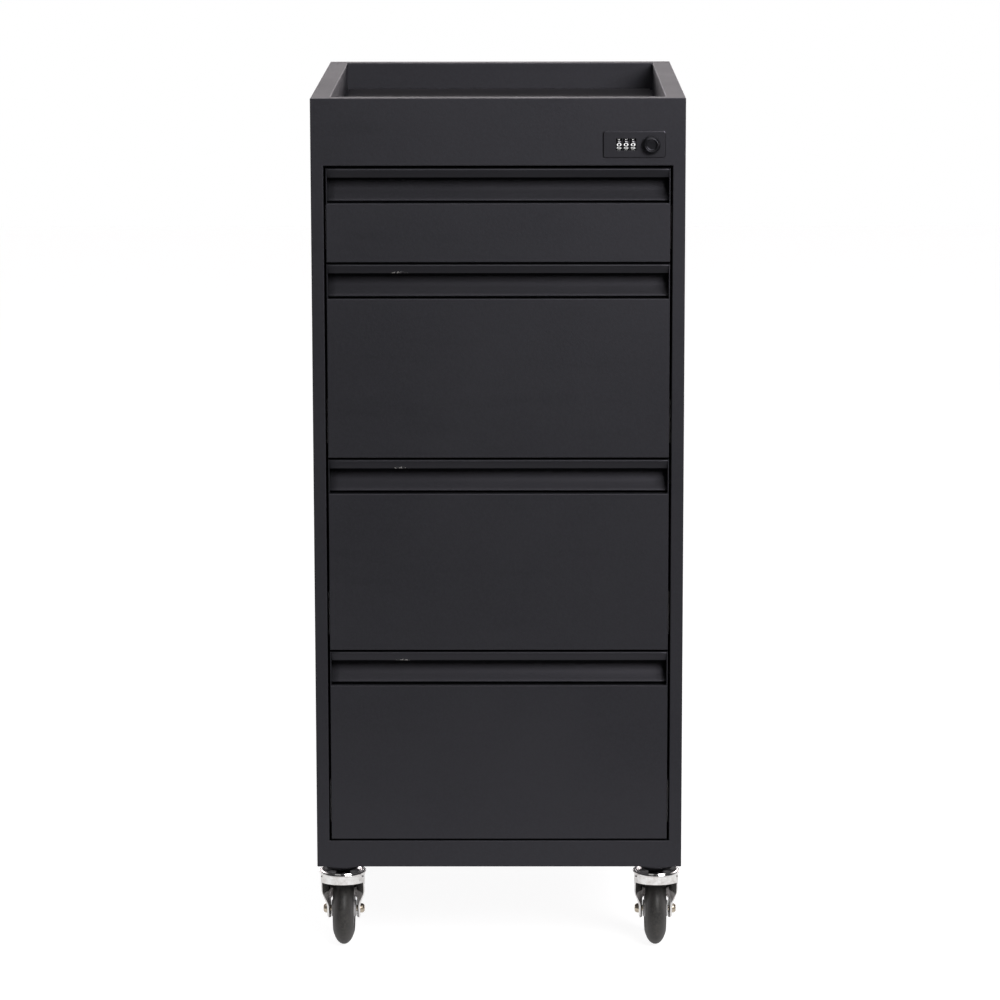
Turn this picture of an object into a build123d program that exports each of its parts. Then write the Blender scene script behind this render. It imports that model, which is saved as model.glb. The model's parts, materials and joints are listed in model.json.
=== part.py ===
from build123d import *
from math import cos, radians, sin
import os

# Rolling pedestal cabinet in folded sheet steel: an open tray on top, a fascia with a
# combination lock, one shallow and three deep drawers on telescopic slides, four swivel
# casters. X is across the front, Y runs from the front to the back, Z is up. The origin
# is on the floor under the middle of the body. "Behind" is a distance back from the
# front plane and "drop" is a distance down from a drawer's top edge.

# Overall
width = 375
depth = 450
body_height = 792
caster_height = 100
sheet = 1.0

# Front frame
stile_width = 12.8
stile_return = 15
fascia_height = 67.5
plinth_height = 27.5
hem = 12
post_flange = 15

# Tray on top
side_rim = 19.5
front_rim = 19
rear_rim = 20
tray_depth = 30
rim_radius = 0.8
mat_thickness = 2
mat_margin = 3

# Drawers, from the top
drawer_count = 4
shallow_height = 94.5
drawer_gap = 2.0
top_gap = 2.5
side_gap = 2.2
drawer_sheet = 0.8
box_under_clearance = 6
box_behind_pull = 1.5
flange_past_box = 3.5
fold_radius = 0.8

# Finger pull, seen from the side
lip_height = 9.3
lip_lean = 2.5
pull_depth = 23
pull_sagitta = 3.5
pull_nose_behind = 7.5
pull_nose_drop = 31.8
pull_slot = 3.5
pull_tail = 24

# Telescopic slides
slide_thickness = 12.7
slide_height = 45
slide_sheet = 1.2
slide_step = 2.5
slide_stagger = 0.5
slide_nesting = 2.4
slide_rise = 3.75
slide_past_flange = 2
slide_end_gap = 20

# Lock
plate_width = 61.4
plate_height = 25.5
plate_proud = 1.5
plate_corner = 2
plate_inset_right = 20.8
plate_drop = 33.5
housing_border = 2
housing_back = 18
retainer_border = 4
retainer_thickness = 1.5
knob_radius = 9
knob_height = 7.5
knob_dish_radius = 5.8
knob_dish = 2
knob_shoulder = 1.5
knob_inset = 13.7
spindle_radius = 3.5
dial_count = 3
dial_radius = 6.5
dial_width = 5.2
dial_pitch = 7
dial_proud = 0.6
dial_edge = 0.4
dial_shaft_radius = 1.5
first_dial_from_knob = 32.2
window_width = 5.8
window_height = 12
cam_radius = 9
cam_thickness = 2.5
cam_gap = 0.5
cam_pin_radius = 1.5
cam_pin_length = 6
arm_from_cam = 1
knob_turn = 90
bar_lift = 8
bar_thickness = 2
bar_width = 10
bar_behind = 17
bar_from_liner = 2.3
hook_behind = 20.5
hook_width = 3
hook_height = 4
hook_drop = 25
hook_reach = 7
slot_clearance = 1.5

# Casters
caster_inset = 24.5
caster_setback = 35
wheel_radius = 37.5
wheel_width = 24
tread_crown = 22
hub_radius = 24
hub_width = 26
hub_boss_radius = 9
hub_web = 8
hub_web_radius = 19
hub_rim_radius = 21
hub_rim_step = 2
trail = 26
stem_radius = 5
stem_flange_radius = 19
stem_flange_height = 11
stem_flange_bevel = 3
stem_end = 6
stem_head_radius = 8
stem_head_height = 2.5
crown_radius = 23.6
crown_sheet = 2.5
crown_skirt = 8.5
crown_bevel = 3
crown_bevel_drop = 2
crown_dish = 0.5
leg_sheet = 2.2
leg_gap = 0.5
leg_top_length = 34
leg_shoulder = 6
leg_foot_radius = 9
axle_radius = 3
bolt_head = 3.5
bolt_across = 10
bolt_end = 2
wheel_room = 1
nut_height = 8
nut_across = 17

# Fasteners
screw_head_radius = 3.5
screw_head_height = 2
screw_radius = 2
screw_length = 8
screw_rows = 4
screw_end = 40

# Clearances
running = 0.06
play = 0.4
overcut = 1
hair = 0.01

half_width = width / 2
half_depth = depth / 2
bottom = caster_height
top = bottom + body_height
liner_face = half_width - stile_width
opening_top = top - fascia_height
opening_bottom = bottom + plinth_height
front_half = liner_face - side_gap
box_half = liner_face - slide_thickness
box_front = pull_depth + box_behind_pull
front_flange = box_front + flange_past_box
slide_setback = front_flange + slide_past_flange
panel_drop = pull_nose_drop + pull_slot
box_drop = panel_drop + drawer_sheet
slide_start = slide_setback - half_depth
slide_length = depth - slide_setback - slide_end_gap
deep_height = (
    (opening_top - opening_bottom - top_gap - drawer_count * drawer_gap - shallow_height)
    / (drawer_count - 1)
)
plate_right = half_width - plate_inset_right
lock_z = top - plate_drop - plate_height / 2
knob_x = plate_right - knob_inset
dial_behind = dial_radius - dial_proud - plate_proud
cam_behind = housing_back + cam_gap
pin_orbit = bar_lift / 2 / sin(radians(knob_turn / 2))
axle_length = hub_width + 2 * leg_gap + 2 * leg_sheet


def drawer_span(n):
    """Top and bottom height of drawer front n, counted from 1 at the top."""
    above = top_gap + (n > 1) * (shallow_height + drawer_gap)
    above += max(0, n - 2) * (deep_height + drawer_gap)
    high = opening_top - above
    return high, high - (shallow_height if n == 1 else deep_height)


def block(x, y, z):
    """A box between two values on each axis."""
    size = [abs(high - low) for low, high in (x, y, z)]
    middle = [(low + high) / 2 for low, high in (x, y, z)]
    return Pos(*middle) * Box(*size)


def behind(near, far):
    """A Y span given as two distances back from the front plane."""
    return near - half_depth, far - half_depth


def both_sides(shape):
    return [shape, mirror(shape, about=Plane.YZ)]


def write(name, *shapes):
    solids = [solid for shape in shapes for solid in shape.solids()]
    whole = solids[0] if len(solids) == 1 else Compound(children=solids)
    export_step(whole, f"parts/{name}.step")


def turned(profile):
    """A solid of revolution about Z from a closed (radius, height) outline."""
    return revolve(Plane.XZ * make_face(Polyline(*profile, close=True)), Axis.Z)


def hexagon(across, height):
    return extrude(RegularPolygon(across / 2, 6, major_radius=False), height)


# Carcass

def side_panel():
    """Right side: skin, front stile with its return, rear flange and top flange."""
    inner = half_width - sheet
    skin = block((inner, half_width), (-half_depth, half_depth), (bottom, top - sheet))
    stile = block(
        (liner_face, inner), behind(0, sheet), (opening_bottom, opening_top)
    )
    fold = block(
        (liner_face, liner_face + sheet), behind(sheet, stile_return),
        (opening_bottom, opening_top),
    )
    rear_y = (half_depth - 2 * sheet, half_depth - sheet)
    rear = block((inner - post_flange, inner), rear_y, (bottom + sheet, top - sheet))
    flange = block(
        (half_width - side_rim + 2 * sheet, inner),
        (-half_depth + 2 * sheet, half_depth - 2 * sheet),
        (top - 2 * sheet, top - sheet),
    )
    return skin + stile + fold + rear + flange - screw_holes()


def side_liner(slotted):
    """Inner wall of the right side, which carries the slides."""
    wall = block(
        (liner_face, liner_face + sheet),
        (stile_return - half_depth, half_depth - 2 * sheet),
        (bottom + sheet, opening_top),
    )
    if not slotted:
        return wall
    slot_x = (liner_face - overcut, liner_face + sheet + overcut)
    slot_y = behind(hook_behind - slot_clearance, hook_behind + hook_width + slot_clearance)
    for n in range(1, drawer_count + 1):
        hook_top = drawer_span(n)[0] - hook_drop
        wall -= block(
            slot_x, slot_y,
            (hook_top - hook_height - slot_clearance, hook_top + bar_lift + slot_clearance),
        )
    return wall


def back_panel():
    inner = half_width - sheet
    sides, thickness = (-inner, inner), (half_depth - sheet, half_depth)
    return block(sides, thickness, (bottom + sheet, top - sheet)) - screw_holes()


def base_panel():
    """Floor of the body: a pan with upturned front and rear edges, and four stem holes."""
    inner = half_width - sheet
    pan = block((-inner, inner), (-half_depth, half_depth), (bottom, bottom + sheet))
    edge_x = (sheet - liner_face, liner_face - sheet)
    edge_z = (bottom + sheet, bottom + plinth_height - 2 * sheet)
    pan += block(edge_x, behind(2 * sheet, 3 * sheet), edge_z)
    pan += block(edge_x, (half_depth - 3 * sheet, half_depth - 2 * sheet), edge_z)
    hole = Cylinder(stem_radius + play / 4, 6 * sheet)
    return pan - [Pos(x, y, bottom) * hole for x, y in caster_places()]


def front_fascia():
    """Top front panel with a hem under it and the cut-out for the lock."""
    inner = half_width - sheet
    panel = block((-inner, inner), behind(0, sheet), (opening_top, top - sheet))
    panel += block(
        (sheet - liner_face, liner_face - sheet), behind(sheet, hem),
        (opening_top, opening_top + sheet),
    )
    return panel - lock_body(play / 4)


def plinth_rail():
    inner = half_width - sheet
    rail = block((-inner, inner), behind(0, sheet), (bottom + sheet, opening_bottom))
    return rail + block(
        (sheet - liner_face, liner_face - sheet), behind(sheet, hem),
        (opening_bottom - sheet, opening_bottom),
    )


def top_tray():
    """Tray pan: a flat rim flush with the body, four walls and a floor."""
    outer = block((-half_width, half_width), (-half_depth, half_depth), (top - sheet, top))
    rim_edges = outer.edges().group_by(Axis.Z)[-1]
    rim = fillet(rim_edges, rim_radius)
    wall_x = half_width - side_rim
    wall_y = (front_rim - half_depth, half_depth - rear_rim)
    pan = rim + block(
        (-wall_x - sheet, wall_x + sheet), (wall_y[0] - sheet, wall_y[1] + sheet),
        (top - tray_depth - sheet, top - sheet / 2),
    )
    return pan - block((-wall_x, wall_x), wall_y, (top - tray_depth, top + sheet))


def tray_mat():
    """Thin rubber mat lying on the tray floor."""
    reach = half_width - side_rim - mat_margin
    return block(
        (-reach, reach),
        (front_rim - half_depth + mat_margin, half_depth - rear_rim - mat_margin),
        (top - tray_depth, top - tray_depth + mat_thickness),
    )


def screw_places():
    """Points on the back face, in a row up each side."""
    x = half_width - sheet - post_flange / 2
    low = bottom + screw_end
    step = (top - tray_depth - screw_end - low) / (screw_rows - 1)
    return [
        Pos(side * x, half_depth, low + step * row)
        for side in (-1, 1) for row in range(screw_rows)
    ]


def screw_holes():
    hole = Rot(90, 0, 0) * Cylinder(screw_radius + play / 4, 6 * sheet)
    return [place * hole for place in screw_places()]


def back_screws():
    """Pan-head screws which hold the back panel."""
    head = Pos(0, 0, screw_head_height / 2) * Cylinder(screw_head_radius, screw_head_height)
    top_edge = head.edges().group_by(Axis.Z)[-1]
    screw = fillet(top_edge, screw_head_height / 2)
    screw += Pos(0, 0, -screw_length / 2) * Cylinder(screw_radius, screw_length)
    screw = Rot(-90, 0, 0) * screw
    return [place * screw for place in screw_places()]


# Drawers

def pull_line():
    """Side view of the folded pull: lip, top flange, hollow back wall, slot and tail."""
    lip_foot = (lip_lean, -lip_height)
    lip_top = (0, 0)
    back_top = (pull_depth, 0)
    nose = (pull_nose_behind, -pull_nose_drop)
    lip = Polyline(lip_foot, lip_top, back_top)
    wall = SagittaArc(back_top, nose, pull_sagitta)
    tail = Polyline(nose, (pull_depth, -panel_drop + drawer_sheet), (pull_depth, -panel_drop - pull_tail))
    return lip, wall, tail


def drawer_pull(n):
    """Full-width folded pull between the end caps of drawer front n."""
    high, _ = drawer_span(n)
    lip, wall, tail = pull_line()
    section = trace(Wire([*lip.edges(), *wall.edges(), *tail.edges()]), line_width=drawer_sheet)
    reach = front_half - sheet
    shape = extrude(Plane.YZ * section, 2 * reach)
    shift = drawer_sheet / 2
    return Pos(-reach, shift - half_depth, high - shift) * shape


def front_slot(high):
    """Bent slot which the lock hook leaves backwards, or rises in to hold the drawer."""
    hook_top = high - hook_drop
    low = hook_top - hook_height - slot_clearance
    near = hook_behind - slot_clearance
    cap_x = (front_half - sheet - overcut, front_half + overcut)
    way_out = block(cap_x, behind(near, front_flange + overcut), (low, hook_top + slot_clearance))
    pocket = block(
        cap_x, behind(near, hook_behind + hook_width + slot_clearance),
        (low, hook_top + bar_lift + slot_clearance),
    )
    return way_out + pocket


def drawer_front(n):
    """Front pan: panel, rounded top edge with its flange, bottom flange and end caps."""
    high, low = drawer_span(n)
    panel_top = high - panel_drop
    panel = block((-front_half, front_half), behind(0, sheet), (low, panel_top))
    lower = block((-front_half, front_half), behind(sheet, front_flange - play), (low, low + sheet))
    ledge = block(
        (sheet - front_half, front_half - sheet), behind(sheet, pull_nose_behind),
        (panel_top - sheet, panel_top),
    )
    cap = block((front_half - sheet, front_half), behind(sheet, front_flange), (low, high))
    edge = block((front_half - sheet, front_half), behind(0, sheet), (panel_top, high))
    shape = panel + lower + ledge + both_sides(cap) + both_sides(edge)
    rounded = (
        shape.edges().filter_by(Axis.X)
        .filter_by_position(Axis.Z, panel_top - hair, panel_top + hair)
        .filter_by_position(Axis.Y, -half_depth - hair, -half_depth + hair)
    )
    return fillet(rounded, fold_radius) - front_slot(high)


def drawer_box(n):
    """Open steel box behind front n; its wider front wall closes the back of the pan."""
    high, low = drawer_span(n)
    box_top = high - box_drop
    floor = low + box_under_clearance
    front_y = box_front - half_depth
    rear_y = slide_start + slide_length
    outside = block((-box_half, box_half), (front_y, rear_y), (floor, box_top))
    inside = block(
        (drawer_sheet - box_half, box_half - drawer_sheet),
        (front_y + drawer_sheet, rear_y - drawer_sheet), (floor + drawer_sheet, box_top + overcut),
    )
    reach = front_half - sheet
    closing = block((-reach, reach), (front_y, front_y + drawer_sheet), (low + sheet, box_top))
    return outside + closing - inside


def slide_height_middle(n):
    return drawer_span(n)[1] + box_under_clearance + slide_rise + slide_height / 2


def channel(web_x, flange_x, height, n):
    """One slide member: a channel with its web at web_x and flanges to flange_x."""
    middle = slide_height_middle(n)
    y = (slide_start, slide_start + slide_length)
    span = (middle - height / 2, middle + height / 2)
    inward = slide_sheet if flange_x > web_x else -slide_sheet
    solid = block((web_x, flange_x), y, span)
    return solid - block(
        (web_x + inward, flange_x + inward), (y[0] - overcut, y[1] + overcut),
        (span[0] + slide_sheet, span[1] - slide_sheet),
    )


def slide_member(level, n):
    """Member 0 is on the liner, 1 is the middle one and 2 is on the drawer box."""
    reach = slide_thickness - slide_step
    height = slide_height - 2 * level * slide_nesting
    if level == 2:
        return channel(box_half, liner_face - 2 * slide_step, height, n)
    web = liner_face - level * slide_step
    return channel(web, liner_face - reach + level * slide_stagger, height, n)


# Lock

def lock_body(growth=0.0):
    """The part of the lock housing which passes through the fascia."""
    left = plate_right - plate_width + housing_border - growth
    right = plate_right - housing_border + growth
    low = lock_z - plate_height / 2 + housing_border - growth
    return block((left, right), behind(0, housing_back), (low, 2 * lock_z - low))


def dial_x(n):
    return knob_x - first_dial_from_knob + (n - 1) * dial_pitch


def along_y(shape, x, at_behind):
    """Turns a shape built up along +Z so that it points to the front, at the lock height."""
    return Pos(x, at_behind - half_depth, lock_z) * Rot(90, 0, 0) * shape


def lock_housing():
    face = RectangleRounded(plate_width, plate_height, plate_corner)
    plate = extrude(face, plate_proud)
    plate = along_y(plate, plate_right - plate_width / 2, 0)
    shape = plate + lock_body()
    bore = Cylinder(spindle_radius + running, 2 * (housing_back + plate_proud))
    shape -= along_y(bore, knob_x, housing_back / 2)
    room = Cylinder(dial_radius + play, dial_width + play)
    shaft = Cylinder(dial_shaft_radius, dial_pitch * dial_count + 2 * dial_width)
    middle = Pos(dial_x(2), dial_behind - half_depth, lock_z)
    window = Pos(0, -dial_radius, 0) * Box(window_width, 2 * dial_radius, window_height)
    for n in range(1, dial_count + 1):
        at = Pos(dial_x(n), dial_behind - half_depth, lock_z)
        shape -= [at * Rot(0, 90, 0) * room, at * window]
    return shape - middle * Rot(0, 90, 0) * shaft


def lock_dial_shaft():
    shaft = Cylinder(dial_shaft_radius, dial_pitch * dial_count + 2 * dial_width)
    return Pos(dial_x(2), dial_behind - half_depth, lock_z) * Rot(0, 90, 0) * shaft


def lock_dial(n):
    """Numbered wheel on the dial shaft."""
    wheel = Cylinder(dial_radius, dial_width)
    wheel = chamfer(wheel.edges().filter_by(GeomType.CIRCLE), dial_edge)
    wheel -= Cylinder(dial_shaft_radius + running, 2 * dial_width)
    return Pos(dial_x(n), dial_behind - half_depth, lock_z) * Rot(0, 90, 0) * wheel


def lock_retainer():
    """Frame pushed over the housing from behind, against the fascia."""
    plate = block(
        (plate_right - plate_width - retainer_border, plate_right + retainer_border),
        behind(sheet, sheet + retainer_thickness),
        (lock_z - plate_height / 2, lock_z + plate_height / 2),
    )
    return plate - lock_body()


def lock_knob():
    """Round dished knob and its spindle, which reaches back to the cam."""
    r, h = knob_radius, knob_height
    back = -(plate_proud + play / 2 + cam_behind + cam_thickness)
    head = turned([
        (0, 0), (r, 0), (r, h - knob_shoulder), (r - knob_shoulder, h), (knob_dish_radius, h),
        (knob_dish_radius - knob_shoulder, h - knob_dish), (0, h - knob_dish),
    ])
    spindle = Pos(0, 0, back / 2) * Cylinder(spindle_radius, -back)
    return along_y(head + spindle, knob_x, -plate_proud - play / 2)


def lock_cam():
    """Disc on the end of the spindle, with the pin which lifts the lock bar."""
    disc = Pos(0, 0, -cam_thickness / 2) * Cylinder(cam_radius, cam_thickness)
    disc -= Cylinder(spindle_radius, 4 * cam_thickness)
    at = radians(knob_turn / 2)
    pin = Cylinder(cam_pin_radius, cam_pin_length)
    pin = Pos(pin_orbit * cos(at), -pin_orbit * sin(at), -cam_thickness - cam_pin_length / 2) * pin
    web = Pos(pin_orbit * cos(at), -pin_orbit * sin(at), -cam_thickness / 2)
    return along_y(disc + pin + web * Cylinder(cam_pin_radius, cam_thickness), knob_x, cam_behind)


def lock_bar():
    """Upright bar beside the slides with a hook per drawer and a slotted arm to the cam."""
    near = liner_face + bar_from_liner
    slot_z = lock_z - bar_lift / 2
    arm_half = bar_width / 2
    low = drawer_span(drawer_count)[0] - hook_drop - hook_height
    bar = block(
        (near, near + bar_thickness), behind(bar_behind, bar_behind + bar_width),
        (low, slot_z + arm_half),
    )
    arm_near = cam_behind + cam_thickness + arm_from_cam
    bar += block(
        (knob_x - cam_radius, near + bar_thickness),
        behind(arm_near, arm_near + bar_thickness), (slot_z - arm_half, slot_z + arm_half),
    )
    slot_half = cam_pin_radius + play
    bar -= block(
        (knob_x + bar_lift / 2 - slot_half - play, knob_x + pin_orbit + slot_half + play),
        behind(arm_near - overcut, arm_near + bar_thickness + overcut),
        (slot_z - slot_half, slot_z + slot_half),
    )
    for n in range(1, drawer_count + 1):
        hook_top = drawer_span(n)[0] - hook_drop
        bar += block(
            (liner_face - hook_reach, near + bar_thickness),
            behind(hook_behind, hook_behind + hook_width), (hook_top - hook_height, hook_top),
        )
    return bar


# Casters

def caster_places():
    x = half_width - caster_inset
    y = half_depth - caster_setback
    return [(-x, -y), (x, -y), (-x, y), (x, y)]


def caster_stem():
    """Flanged stud fixed to the body; the fork turns on its lower end."""
    flange_foot = bottom - stem_flange_height
    head_top = flange_foot - crown_sheet - 2 * play
    head_foot = head_top - stem_head_height
    stud_top = bottom + sheet + nut_height + stem_end
    return turned([
        (0, head_foot), (stem_head_radius, head_foot), (stem_head_radius, head_top),
        (stem_radius, head_top), (stem_radius, flange_foot),
        (stem_flange_radius - stem_flange_bevel, flange_foot),
        (stem_flange_radius, flange_foot + stem_flange_bevel), (stem_flange_radius, bottom),
        (stem_radius, bottom), (stem_radius, stud_top), (0, stud_top),
    ])


def caster_nut():
    nut = Pos(0, 0, bottom + sheet) * hexagon(nut_across, nut_height)
    return nut - Pos(0, 0, bottom) * Cylinder(stem_radius, 6 * nut_height)


def caster_fork():
    """Crown plate with a skirt round it, and two tapered legs down to the axle."""
    crown_top = bottom - stem_flange_height - play
    crown_foot = crown_top - crown_sheet
    hole = stem_radius + running
    crown = turned([
        (hole, crown_top), (crown_radius - crown_bevel, crown_top),
        (crown_radius, crown_top - crown_bevel_drop), (crown_radius, crown_top - crown_skirt),
        (crown_radius - leg_sheet, crown_top - crown_skirt),
        (crown_radius - leg_sheet, crown_foot - crown_dish), (hole, crown_foot),
    ])
    inner = hub_width / 2 + leg_gap
    half_top = leg_top_length / 2
    leg_side = make_hull([
        *Polyline(
            (-half_top, crown_foot), (half_top, crown_foot), (half_top, crown_foot - leg_shoulder)
        ).edges(),
        *(Pos(trail, wheel_radius) * Circle(leg_foot_radius)).edges(),
    ])
    leg = extrude(Plane.YZ * leg_side, leg_sheet)
    leg = Pos(inner, 0, 0) * leg - wheel_bore()
    room = Cylinder(wheel_radius + wheel_room, 2 * inner)
    return crown + both_sides(leg) - on_axle(room)


def on_axle(shape):
    """Lays a shape built about Z on the wheel's axle line."""
    return Pos(0, trail, wheel_radius) * Rot(0, 90, 0) * shape


def wheel_bore():
    """The space which the axle bolt takes, with its running clearance."""
    return on_axle(Cylinder(axle_radius + running, 2 * axle_length))


def caster_axle():
    """Axle bolt across the legs, and its nut on the other side."""
    reach = axle_length / 2 + play / 4
    past_nut = bolt_head + bolt_end
    shank = Pos(0, 0, -past_nut / 2) * Cylinder(axle_radius, 2 * reach + past_nut)
    head = Pos(0, 0, reach) * hexagon(bolt_across, bolt_head)
    nut = Pos(0, 0, -reach - bolt_head) * hexagon(bolt_across, bolt_head) - shank
    return [on_axle(shank + head), on_axle(nut)]


def tyre():
    """Rubber ring on the hub, with half an ellipse as its section."""
    section = Pos(wheel_radius - tread_crown, 0) * Ellipse(tread_crown, wheel_width / 2)
    inside = Rectangle(wheel_radius + hub_radius, 2 * wheel_width)
    section -= Pos((hub_radius - wheel_radius) / 2, 0) * inside
    return on_axle(revolve(Plane.XZ * section, Axis.Z))


def hub():
    """Wheel centre: a rim under the tyre, a thinner web and a boss on the axle."""
    bore = axle_radius + running
    half = [
        (bore, hub_width / 2), (hub_boss_radius, hub_width / 2), (hub_boss_radius, hub_web / 2),
        (hub_web_radius, hub_web / 2), (hub_rim_radius, wheel_width / 2 - hub_rim_step),
        (hub_radius, wheel_width / 2 - hub_rim_step),
    ]
    other_half = [(radius, -height) for radius, height in reversed(half)]
    return on_axle(turned(half + other_half))


def write_caster(n, place):
    """The front pair trails to the back and the rear pair to the front."""
    at = Pos(place[0], place[1], 0) * Rot(0, 0, 0 if place[1] < 0 else 180)
    write(f"caster_{n}_fork", at * caster_fork())
    write(f"caster_{n}_axle", *[at * piece for piece in caster_axle()])
    write(f"caster_{n}_tyre", at * tyre())
    write(f"caster_{n}_hub", at * hub())


def write_drawer(n):
    write(f"drawer_{n}_front", drawer_front(n))
    write(f"drawer_{n}_pull", drawer_pull(n))
    write(f"drawer_{n}_box", drawer_box(n))
    write(f"drawer_{n}_runners", *both_sides(slide_member(2, n)))
    write(f"slide_{n}_middles", *both_sides(slide_member(1, n)))


os.makedirs("parts", exist_ok=True)
drawers = range(1, drawer_count + 1)

write("side_panel_right", side_panel())
write("side_panel_left", mirror(side_panel(), about=Plane.YZ))
write("side_liner_right", side_liner(True))
write("side_liner_left", mirror(side_liner(False), about=Plane.YZ))
write("back_panel", back_panel())
write("base_panel", base_panel())
write("front_fascia", front_fascia())
write("plinth_rail", plinth_rail())
write("top_tray", top_tray())
write("tray_mat", tray_mat())
write("back_screws", *back_screws())

rails = [slide_member(0, n) for n in drawers]
write("slide_rails_right", *rails)
write("slide_rails_left", *[mirror(rail, about=Plane.YZ) for rail in rails])
for n in drawers:
    write_drawer(n)

write("lock_housing", lock_housing())
write("lock_retainer", lock_retainer())
write("lock_dial_shaft", lock_dial_shaft())
write("lock_knob", lock_knob())
write("lock_cam", lock_cam())
write("lock_bar", lock_bar())
for n in range(1, dial_count + 1):
    write(f"lock_dial_{n}", lock_dial(n))

write("caster_stems", *[Pos(x, y, 0) * caster_stem() for x, y in caster_places()])
write("caster_nuts", *[Pos(x, y, 0) * caster_nut() for x, y in caster_places()])
for n, place in enumerate(caster_places(), start=1):
    write_caster(n, place)
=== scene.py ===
import json
from math import pi, radians

import bmesh
import bpy
import numpy as np
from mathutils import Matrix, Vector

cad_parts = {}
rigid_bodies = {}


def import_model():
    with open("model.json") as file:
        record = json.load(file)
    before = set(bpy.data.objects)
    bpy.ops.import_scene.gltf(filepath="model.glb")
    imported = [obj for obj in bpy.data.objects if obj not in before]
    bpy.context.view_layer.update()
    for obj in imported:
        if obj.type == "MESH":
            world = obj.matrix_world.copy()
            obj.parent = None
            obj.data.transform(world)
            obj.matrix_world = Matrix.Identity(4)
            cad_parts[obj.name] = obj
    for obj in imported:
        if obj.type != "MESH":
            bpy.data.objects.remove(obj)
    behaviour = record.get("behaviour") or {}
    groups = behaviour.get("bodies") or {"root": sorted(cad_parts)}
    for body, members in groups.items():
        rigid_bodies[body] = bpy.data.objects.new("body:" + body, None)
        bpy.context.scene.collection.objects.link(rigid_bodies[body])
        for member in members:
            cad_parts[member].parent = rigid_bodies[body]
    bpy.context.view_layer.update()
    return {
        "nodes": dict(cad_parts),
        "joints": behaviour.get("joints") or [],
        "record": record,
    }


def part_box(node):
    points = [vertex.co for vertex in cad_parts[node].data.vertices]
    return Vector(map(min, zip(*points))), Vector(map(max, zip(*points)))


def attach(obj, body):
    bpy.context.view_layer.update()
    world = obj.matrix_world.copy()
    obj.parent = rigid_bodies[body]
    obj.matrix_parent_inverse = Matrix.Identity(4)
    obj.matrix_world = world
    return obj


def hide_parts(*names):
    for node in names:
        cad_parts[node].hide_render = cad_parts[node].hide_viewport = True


for thing in list(bpy.data.objects):
    bpy.data.objects.remove(thing)

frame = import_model()
nodes = frame["nodes"]
bodies = frame["record"]["behaviour"]["bodies"]
body_of = {node: body for body, names in bodies.items() for node in names}
slot_of = {part["node"]: part["material_slot"] for part in frame["record"]["subparts"]}

MM = 0.001
DRAWERS = (1, 2, 3, 4)
CASTERS = (1, 2, 3, 4)
DIALS = (1, 2, 3)

# Metres
MERGE_WITHIN = 1e-6        # points of a new surface closer than this are one
SHEET_MERGE_WITHIN = 2e-6  # the same for a copied CAD sheet
NEAR_ENOUGH = 0.00005
SHEET_HEM, TRAY_FOLD, MAT_EDGE, DRAWER_HEM, PLATE_EDGE = 0.00085, 0.0012, 0.0006, 0.0007, 0.0004
INNER = 0.01               # an inner edge is at least this far in from the outside
PULL_SHEET, PULL_HEM = 0.0008, 0.0003
LEG_SHEET, LEG_HEM = 0.0019, 0.0005
PLATE_WIDTH, PLATE_HEIGHT = 0.0614, 0.0255
EASE_SEGMENTS = 3
GRAIN_DEPTH = 0.00012

# Millimetres on a dial
DIAL_RADIUS, DIAL_FACES = 6.5, 10
NUMERAL_WIDTH, ONE_WIDTH, NUMERAL_HEIGHT = 4.6, 1.8, 3.0
PAINT_FOOT, PAINT_THICKNESS = 6.42, 0.14


# ---------------------------------------------------------------- shader groups

def new_group(name, inputs, outputs):
    """An empty shader node group with its sockets: inputs are (name, type, default)."""
    group = bpy.data.node_groups.new(name, "ShaderNodeTree")
    for label, kind, default in inputs:
        socket = group.interface.new_socket(label, in_out="INPUT", socket_type=kind)
        if default is not None:
            socket.default_value = default
    for label, kind in outputs:
        group.interface.new_socket(label, in_out="OUTPUT", socket_type=kind)
    return group, group.nodes.new("NodeGroupInput"), group.nodes.new("NodeGroupOutput")


def add(tree, kind, **settings):
    """A node with its properties set; a key that names an input sets that input."""
    node = tree.nodes.new(kind)
    for key, value in settings.items():
        if hasattr(node, key):
            setattr(node, key, value)
        else:
            node.inputs[key.replace("_", " ")].default_value = value
    return node


def maths(tree, operation, first, second, clamp=False):
    """A Math node on two sockets or numbers."""
    node = add(tree, "ShaderNodeMath", operation=operation, use_clamp=clamp)
    for index, value in enumerate((first, second)):
        if isinstance(value, (int, float)):
            node.inputs[index].default_value = value
        else:
            tree.links.new(value, node.inputs[index])
    return node.outputs[0]


def blend_colours(tree, factor, first, second):
    """A colour that goes from first to second with factor."""
    node = add(tree, "ShaderNodeMix", data_type="RGBA")
    tree.links.new(factor, node.inputs["Factor"])
    for index, value in ((6, first), (7, second)):
        if isinstance(value, (tuple, list)):
            node.inputs[index].default_value = value
        else:
            tree.links.new(value, node.inputs[index])
    return node.outputs[2]


def ramp(tree, value, low, high):
    """0 below low, 1 above high, straight between them."""
    node = add(tree, "ShaderNodeMapRange", clamp=True)
    node.inputs["From Min"].default_value = low
    node.inputs["From Max"].default_value = high
    tree.links.new(value, node.inputs["Value"])
    return node.outputs["Result"]


def noise(tree, vector, scale, detail=2.0, roughness=0.5):
    """Value of a Noise Texture; the scale is a number or a socket."""
    node = add(tree, "ShaderNodeTexNoise", Detail=detail, Roughness=roughness)
    if isinstance(scale, (int, float)):
        node.inputs["Scale"].default_value = scale
    else:
        tree.links.new(scale, node.inputs["Scale"])
    tree.links.new(vector, node.inputs["Vector"])
    return node.outputs["Fac"]


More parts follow.
